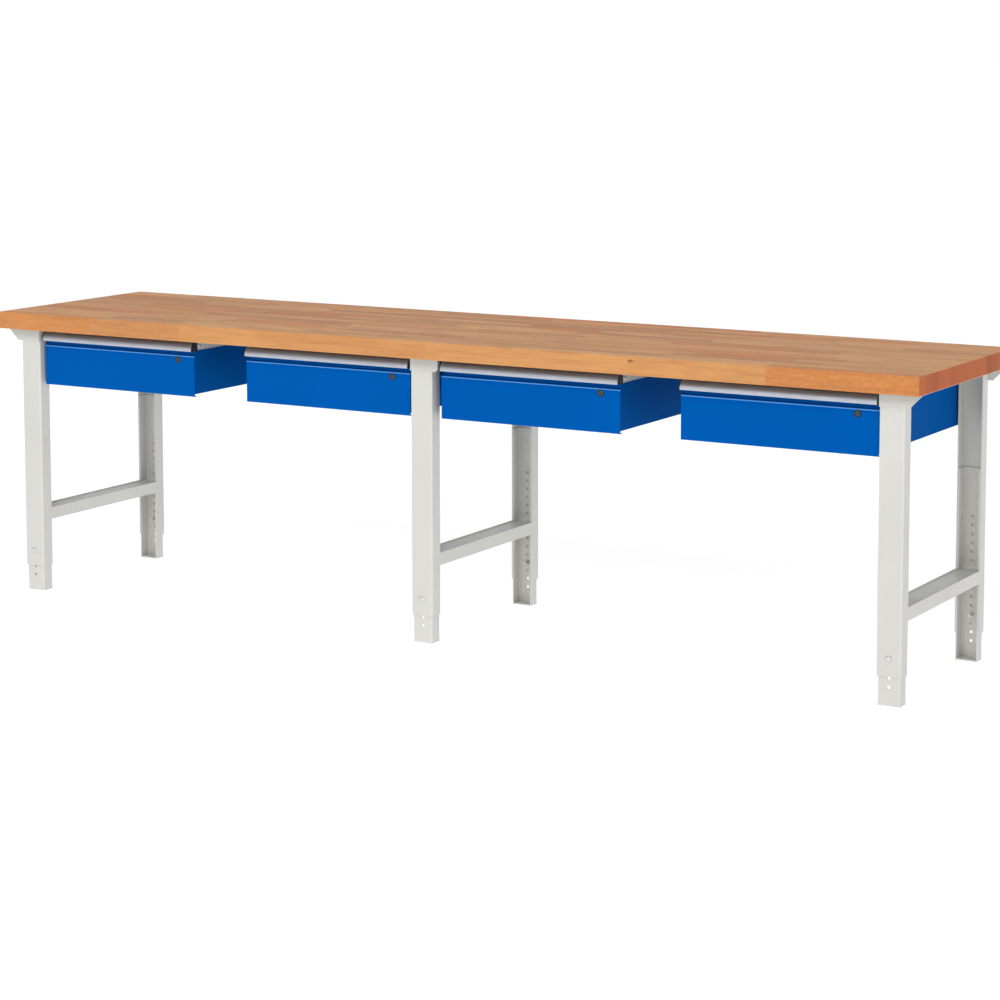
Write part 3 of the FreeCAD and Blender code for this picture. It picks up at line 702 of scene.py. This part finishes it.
def fastener_tree():
    """One fastener at every point, turned to the point's aim and spun at random."""
    tree, given, result = new_tree("Fasteners at points", [
        ("Fastener", "Object"), ("Seed", "Int"), ("Material", "Material")])
    piece = add(tree, "GeometryNodeObjectInfo", {"Object": given["Fastener"], "As Instance": True})
    full_turn = 6.283
    number = add(tree, "GeometryNodeInputIndex").outputs[0]
    spin = chance(tree, 0.0, full_turn, number, given["Seed"])
    spun = add(tree, "FunctionNodeEulerToRotation", {0: combine(tree, 0.0, 0.0, spin)})
    turned_to = add(
        tree, "FunctionNodeAlignRotationToVector",
        {"Rotation": spun.outputs[0], "Vector": stored(tree, "aim")}, axis="Z")
    placed = add(
        tree, "GeometryNodeInstanceOnPoints",
        {"Points": given["Geometry"], "Instance": piece.outputs["Geometry"],
         "Rotation": turned_to.outputs[0]})
    close_tree(tree, placed.outputs[0], given["Material"], result)
    return tree


def fasten(name, places, part, material, seed):
    """Sets a part at each place through the fastener tree, and removes the single part."""
    mesh = bpy.data.meshes.new(name)
    mesh.from_pydata([at for at, _ in places], [], [])
    aims = mesh.attributes.new("aim", "FLOAT_VECTOR", "POINT")
    for k, (_, aim) in enumerate(places):
        aims.data[k].vector = aim
    values = {"Fastener": part, "Seed": seed, "Material": material}
    made = grow(name, fastener_tree(), values, mesh)
    bpy.data.objects.remove(part)
    return made


# ---- the pieces ---------------------------------------------------------------------------------
def pan_head(hardware):
    """A pan-head screw that points along +Z, with a cross recess. Its head rests at height 0."""
    r, h, s = hardware.screw_head, hardware.screw_height, hardware.screw_shank
    tip = hardware.screw_length
    bm = bmesh.new()
    dome = [(0.0, -h), (r * 0.55, -h), (r * 0.82, -h * 0.86), (r * 0.96, -h * 0.58)]
    dome += [(r, -h * 0.25), (r * 0.98, 0.0)]
    turned(bm, dome + [(s, 0.0), (s, tip - 2 * s), (0.0, tip)], sides=18)
    screw = new_object("single screw", mesh_from(bm, "single screw"))
    arm, reach, depth = r * 0.13, r * 0.56, h * 0.6
    outline = [(arm, arm), (reach, arm), (reach, -arm), (arm, -arm)]
    outline += [(arm, -reach), (-arm, -reach), (-arm, -arm), (-reach, -arm)]
    outline += [(-reach, arm), (-arm, arm), (-arm, reach), (arm, reach)]
    bm = bmesh.new()
    top = [bm.verts.new((x, y, -h - MM)) for x, y in outline]
    floor = [bm.verts.new((x * 0.75, y * 0.75, -h + depth)) for x, y in outline]
    bm.faces.new(top)
    bm.faces.new(floor)
    join_rings(bm, top, floor)
    carve(screw, new_object("recess", mesh_from(bm, "recess")))
    smooth(screw.data)
    return screw


def carriage_bolt(hardware):
    """A round-head bolt that points along +Z, with a cut thread, a washer and a hexagon nut."""
    head, shank, end = hardware.bolt_head, hardware.bolt_shank, hardware.bolt_length
    pitch, thread_depth = hardware.thread_pitch, 0.55 * MM
    bm = bmesh.new()
    # the head in millimetres as drawn for a radius of 9 mm, widened or narrowed to the one set
    dome = [(0.0, -4.0), (3.2, -3.9), (5.6, -3.4), (7.4, -2.4)]
    dome += [(8.6, -1.1), (9.0, -0.3), (8.9, 0.0)]
    profile = [(r * head / 9.0, z * MM) for r, z in dome] + [(shank, 0.0)]
    steps = int((end - hardware.clamped) / (pitch / 4))
    profile += [(shank, hardware.clamped + k * pitch / 4) for k in range(steps)]
    profile += [(shank * 0.8, end), (0.0, end)]

    def cut_thread(radius, height, angle):
        if height <= hardware.clamped or height >= end - 0.1 * MM:
            return radius
        turn = (height / pitch - angle / math.tau) % 1.0
        return radius - thread_depth * abs(2 * turn - 1)

    turned(bm, profile, sides=20, twist=cut_thread)
    base = hardware.clamped
    hole, wide, thick, nut = shank + 0.2 * MM, 8.0 * MM, 1.6 * MM, 6.5 * MM
    washer = [
        (hole, base), (wide - 0.2 * MM, base), (wide, base + 0.3 * MM),
        (wide, base + thick - 0.3 * MM), (wide - 0.2 * MM, base + thick), (hole, base + thick)]
    ring_solid(bm, washer, sides=28)
    low, high = base + thick, base + thick + nut
    hexagon_nut(bm, low, high, corner=7.5 * MM, bore=shank + 0.05 * MM)
    bolt = new_object("single bolt", mesh_from(bm, "single bolt"))
    smooth(bolt.data)
    return bolt


def ring_solid(bm, profile, sides):
    """A turned ring about Z, from a closed profile of radius and height."""
    rings = [circle(bm, radius, height, sides) for radius, height in profile]
    for first, second in zip(rings, rings[1:] + rings[:1]):
        join_rings(bm, first, second)


def hexagon_nut(bm, low, high, corner, bore):
    """A nut with chamfered corners on both faces. corner is its radius at a corner."""
    sides, chamfer, sink = 24, 0.6 * MM, 0.4 * MM
    flat = corner * math.cos(math.pi / 6)

    def outer(angle, inset):
        """The radius of the hexagon at an angle, with its corners cut back by inset."""
        to_flat = (angle + math.pi / 6) % (math.pi / 3) - math.pi / 6
        return min(flat / math.cos(to_flat), corner - inset)

    levels = [(low, chamfer), (low + chamfer, 0.0), (high - chamfer, 0.0), (high, chamfer)]
    rings = []
    for z, inset in levels:
        ring = []
        for k in range(sides):
            angle = math.tau * k / sides
            r = outer(angle, inset)
            ring.append(bm.verts.new((r * math.cos(angle), r * math.sin(angle), z)))
        rings.append(ring)
    rings.append(circle(bm, bore + sink, high, sides))
    rings.append(circle(bm, bore, high - sink, sides))
    rings.append(circle(bm, bore, low + sink, sides))
    rings.append(circle(bm, bore + sink, low, sides))
    for first, second in zip(rings, rings[1:] + rings[:1]):
        join_rings(bm, first, second)


def lock_parts(bm, lock, depth):
    """A lock that points along +Z from its face at height 0: a rounded rim round a sunk plug, and
    a body behind with a screw thread. depth is its whole length."""
    rim, face, plug, body = lock.rim_radius, lock.rim_depth, lock.plug_radius, lock.body_radius
    sunk, pitch, thread_depth = 0.5 * MM, MM, 0.4 * MM
    profile = [
        (0.0, sunk), (plug - 0.5 * MM, sunk), (plug - 0.15 * MM, sunk + 0.2 * MM),
        (plug, sunk + 0.6 * MM), (plug + 0.15 * MM, sunk + 0.2 * MM), (plug + 0.5 * MM, 0.1 * MM),
        (plug + 0.9 * MM, 0.0), (rim - 1.0 * MM, 0.0), (rim - 0.35 * MM, 0.2 * MM),
        (rim, 0.8 * MM), (rim, face), (body, face)]
    steps = int((depth - face) / (pitch / 4)) - 1
    profile += [(body, face + (k + 1) * pitch / 4) for k in range(steps)]
    profile += [(body - 0.5 * MM, depth), (0.0, depth)]

    def cut_thread(radius, height, angle):
        if radius != body or height <= face + 0.3 * MM:
            return radius
        turn = (height / pitch - angle / math.tau) % 1.0
        return radius - thread_depth * abs(2 * turn - 1)

    turned(bm, profile, sides=40, twist=cut_thread)


def key_slot(lock):
    """The tool that cuts a key slot with a ward on one side."""
    w, h, deep = lock.slot_width / 2, lock.slot_height / 2, 8.0 * MM
    outline = [(-w, -h), (w, -h), (w, -h * 0.3), (w * 1.7, -h * 0.3)]
    outline += [(w * 1.7, h * 0.15), (w, h * 0.15), (w, h), (-w, h)]
    bm = bmesh.new()
    near = [bm.verts.new((x, y, -MM)) for x, y in outline]
    far = [bm.verts.new((x, y, deep)) for x, y in outline]
    bm.faces.new(near)
    bm.faces.new(far)
    join_rings(bm, near, far)
    return new_object("key slot", mesh_from(bm, "key slot"))


class MakeWorktop(bpy.types.Operator):
    """Lay the beech staves and round their outer edges"""
    bl_idname = "workbench.make_worktop"
    bl_label = "Make worktop"

    def execute(self, context):
        wood = context.scene.workbench.worktop
        low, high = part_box("tabletop")
        size = high - low
        top = grow("worktop_staves", stave_tree(), {
            "Length": size.x, "Depth": size.y, "Thickness": size.z, "Height": (low.z + high.z) / 2,
            "Rows": wood.rows, "Staves": wood.staves, "Stagger": wood.stagger, "Seed": wood.seed,
            "Material": beech("Oiled beech", wood)})
        bm = bmesh.new()
        bm.from_mesh(top.data)

        def sides_of(vert):
            """The outer sides of the top that a point lies on."""
            walls = ((0, low), (1, high))
            return {
                (i, end) for i in range(3) for end, wall in walls
                if abs(vert.co[i] - wall[i]) < NEAR_ENOUGH}

        outer = [e for e in bm.edges if len(sides_of(e.verts[0]) & sides_of(e.verts[1])) >= 2]
        bmesh.ops.bevel(
            bm, geom=outer, offset=wood.edge_round, segments=3, profile=0.5, affect="EDGES",
            clamp_overlap=True)
        bm.to_mesh(top.data)
        bm.free()
        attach(top, "bench")
        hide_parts("tabletop")
        return {"FINISHED"}


class MakeScrews(bpy.types.Operator):
    """Set the pan-head screws and the leg bolts"""
    bl_idname = "workbench.make_screws"
    bl_label = "Make screws and bolts"

    def execute(self, context):
        hardware = context.scene.workbench.hardware
        zinc = drawn_metal(
            "Bright zinc plate", (0.66, 0.66, 0.65), roughness=0.45,
            stretch=(260.0, 260.0, 260.0))
        places = fastener_places(
            "pan_head_screws", hardware.screw_head, hardware.screw_height)
        if not places:
            raise RuntimeError("the CAD frame holds no pan-head screws")
        screws = fasten("pan_head_screw_set", places, pan_head(hardware), zinc, seed=3)
        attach(screws, "bench")
        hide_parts("pan_head_screws")
        places = fastener_places("leg_bolt_sets", hardware.bolt_head, BOLT_HEAD_HEIGHT)
        if len(places) != 2 * len(FRAMES):
            raise RuntimeError("the CAD frame should hold two leg bolts in each frame")
        bolts = fasten("leg_bolt_set", places, carriage_bolt(hardware), zinc, seed=5)
        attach(bolts, "bench")
        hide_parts("leg_bolt_sets")
        wear([f"lock_cam_{n}" for n in DRAWERS] + ["lock_catch_bars"], zinc)
        return {"FINISHED"}


class PaintFrames(bpy.types.Operator):
    """Powder-coat the legs, feet, crossbars, top plates and rails"""
    bl_idname = "workbench.paint_frames"
    bl_label = "Paint frames"

    def execute(self, context):
        paint = context.scene.workbench.paint
        grey = powder_coat(
            "Light grey powder coat", paint, paint.grey, paint.grey_roughness, specular=0.35)
        nodes = [f"{part}_{side}" for part in ("crossbar", "top_plate") for side in FRAMES]
        nodes += [
            f"{part}_{side}_{row}" for part in ("upper_leg", "foot") for side in FRAMES
            for row in ("front", "rear")]
        wear(nodes, grey)
        rail = powder_coat(
            "Rail grey powder coat", paint, paint.rail, roughness=0.45, specular=0.35)
        wear(["hanger_rails"], rail)
        return {"FINISHED"}


class PaintDrawers(bpy.types.Operator):
    """Powder-coat the drawer units, and finish the trays, grips and caps"""
    bl_idname = "workbench.paint_drawers"
    bl_label = "Finish drawers"

    def execute(self, context):
        paint = context.scene.workbench.paint
        # painted shade: the casings are painted in the darker casing blue
        blue = powder_coat(
            "Blue powder coat", paint, paint.shaded_case_blue, paint.blue_roughness, specular=0.005,
            tint=paint.blue_sheen)
        wear([f"casing_{n}" for n in DRAWERS], blue)
        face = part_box("drawer_front_1")[0].y + 0.1 * MM
        bend = max(v.co.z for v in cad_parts["drawer_front_1"].data.vertices if v.co.y < face)
        # painted highlight: a lighter blue band along the fronts' top bend
        front = powder_coat(
            "Blue powder coat with painted bend highlight", paint, paint.blue, paint.blue_roughness,
            specular=0.03, tint=paint.blue_sheen, highlight_band=(bend, paint.blue_bend_highlight))
        wear([f"drawer_front_{n}" for n in DRAWERS], front)
        zinc = galvanised_sheet("Zinc-coated sheet", (0.60, 0.62, 0.64), roughness=0.38)
        wear([f"tray_{n}" for n in DRAWERS], zinc)
        grip = drawn_metal(
            "Anodised aluminium", (0.53, 0.555, 0.615), roughness=0.47,
            stretch=(3.0, 1100.0, 1100.0), depth=0.001 * MM)
        wear([f"grip_strip_{n}" for n in DRAWERS], grip)
        caps = moulded_plastic("Black end caps", (0.016, 0.016, 0.018), roughness=0.42)
        wear([f"grip_caps_{n}" for n in DRAWERS], caps)
        return {"FINISHED"}


class FinishRunners(bpy.types.Operator):
    """Finish the telescopic runners"""
    bl_idname = "workbench.finish_runners"
    bl_label = "Finish runners"

    def execute(self, context):
        steel = drawn_metal(
            "Zinc-plated runner steel", (0.66, 0.69, 0.72), roughness=0.30,
            stretch=(900.0, 6.0, 900.0))
        moving = [f"{part}_{n}" for part in ("middle_runners", "drawer_runners") for n in DRAWERS]
        wear(["fixed_runners"] + moving, steel)
        return {"FINISHED"}


class MakeLocks(bpy.types.Operator):
    """Turn the locks: a black rim, a dark plug with its key slot, and the threaded body"""
    bl_idname = "workbench.make_locks"
    bl_label = "Make locks"

    def execute(self, context):
        lock = context.scene.workbench.lock
        black = moulded_plastic("Black lock enamel", (0.012, 0.012, 0.014), roughness=0.30)
        dark = drawn_metal(
            "Dark lock metal", (0.10, 0.10, 0.10), roughness=0.30,
            stretch=(500.0, 500.0, 500.0))
        for n in DRAWERS:
            low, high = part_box(f"lock_cylinder_{n}")
            bm = bmesh.new()
            lock_parts(bm, lock, high.y - low.y)
            piece = new_object(f"lock_{n}_turned", mesh_from(bm, f"lock_{n}_turned"))
            carve(piece, key_slot(lock))
            piece.data.materials.append(black)
            piece.data.materials.append(dark)
            for face in piece.data.polygons:
                out = math.hypot(face.center.x, face.center.y)
                in_plug = out < lock.plug_radius and face.center.z < PLUG_DEPTH
                face.material_index = int(in_plug)
            smooth(piece.data)
            stand = Matrix.Rotation(-math.pi / 2, 4, "X")
            stand.translation = ((low.x + high.x) / 2, low.y, (low.z + high.z) / 2)
            piece.data.transform(stand)
            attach(piece, f"lock_{n}")
            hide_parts(f"lock_cylinder_{n}")
        return {"FINISHED"}


def softbox(context, name, power, size, at, aim):
    """A rectangular light at one place, aimed at another."""
    light = bpy.data.lights.new(name, "AREA")
    light.shape = "RECTANGLE"
    light.size, light.size_y = size
    light.energy = power
    lamp = bpy.data.objects.new(name, light)
    context.scene.collection.objects.link(lamp)
    lamp.location = at
    lamp.rotation_euler = (Vector(aim) - Vector(at)).to_track_quat("-Z", "Y").to_euler()
    lamp.visible_camera = False


class SetStage(bpy.types.Operator):
    """Lay the floor, and set the lights and the camera"""
    bl_idname = "workbench.set_stage"
    bl_label = "Set stage"

    def execute(self, context):
        stage = context.scene.workbench.stage
        bm = bmesh.new()
        bmesh.ops.create_circle(bm, cap_ends=True, segments=96, radius=120.0)
        for vert in bm.verts:
            vert.co.z = CAD_BOX[0].z - 0.2 * MM
        mesh = bpy.data.meshes.new("floor")
        bm.to_mesh(mesh)
        bm.free()
        floor = new_object("floor", mesh)
        material, tree, shader, at = new_material("White studio floor")
        cloud = noise(tree, at, 2.0, 2.0)
        pale = blend_colours(tree, cloud, [stage.floor * 0.995] * 3, [stage.floor] * 3)
        rough = remap(tree, noise(tree, at, 5.0), 0.3, 0.7, 0.85, 0.95)
        finish_shader(tree, shader, pale, rough, specular=0.1)
        shader.inputs["Emission Color"].default_value = (1.0, 1.0, 1.0, 1.0)
        shader.inputs["Emission Strength"].default_value = stage.floor_glow
        mesh.materials.append(material)

        world = bpy.data.worlds.new("Soft studio sky")
        world.use_nodes = True
        sky = world.node_tree
        sky.nodes.clear()
        way = add(sky, "ShaderNodeTexCoord").outputs["Generated"]
        up = separate(sky, way)[2]
        strength = remap(sky, up, 0.05, 0.9, stage.horizon, stage.zenith)
        background = add(
            sky, "ShaderNodeBackground", {"Color": (1.0, 1.0, 1.0, 1.0), "Strength": strength})
        add(sky, "ShaderNodeOutputWorld", {"Surface": background.outputs[0]})
        context.scene.world = world

        softbox(
            context, "Key softbox", stage.key_power, size=(5.0, 3.0), at=(0.3, -5.6, 4.8),
            aim=(0.0, 0.0, 0.6))
        softbox(
            context, "Side softbox", stage.side_power, size=(1.6, 1.6), at=(4.6, -0.9, 1.2),
            aim=(1.4, 0.1, 0.5))

        camera = bpy.data.objects.new("Camera", bpy.data.cameras.new("Camera"))
        context.scene.collection.objects.link(camera)
        camera.location = stage.camera_at
        camera.rotation_euler = stage.camera_turn
        camera.data.sensor_width = 36.0
        camera.data.lens = stage.lens
        camera.data.shift_x = stage.shift_x
        camera.data.shift_y = stage.shift_y
        camera.data.clip_start = 0.05
        camera.data.clip_end = 500.0
        context.scene.camera = camera
        context.scene.view_settings.view_transform = "Standard"
        context.scene.view_settings.look = "None"
        return {"FINISHED"}


STEPS = (MakeWorktop, MakeScrews, PaintFrames, PaintDrawers, FinishRunners, MakeLocks, SetStage)


class WorkbenchPanel(bpy.types.Panel):
    """Lists the steps that finish the workbench."""
    bl_idname = "VIEW3D_PT_workbench"
    bl_label = "Workbench"
    bl_space_type = "VIEW_3D"
    bl_region_type = "UI"
    bl_category = "Workbench"

    def draw(self, context):
        for step in STEPS:
            self.layout.operator(step.bl_idname)


SETTINGS = (
    WorktopSettings, PaintSettings, HardwareSettings, LockSettings, StageSettings,
    WorkbenchSettings)
CLASSES = SETTINGS + STEPS + (WorkbenchPanel,)


def register():
    """Makes the classes and the settings known."""
    for cls in CLASSES:
        bpy.utils.register_class(cls)
    bpy.types.Scene.workbench = PointerProperty(
        type=WorkbenchSettings, name="Workbench", description="Settings of the workbench")


def unregister():
    """Takes the settings and the classes away again."""
    del bpy.types.Scene.workbench
    for cls in reversed(CLASSES):
        bpy.utils.unregister_class(cls)


def main():
    """Runs the steps in order."""
    register()
    bpy.ops.workbench.make_worktop()
    bpy.ops.workbench.make_screws()
    bpy.ops.workbench.paint_frames()
    bpy.ops.workbench.paint_drawers()
    bpy.ops.workbench.finish_runners()
    bpy.ops.workbench.make_locks()
    bpy.ops.workbench.set_stage()


if __name__ == "__main__":
    main()
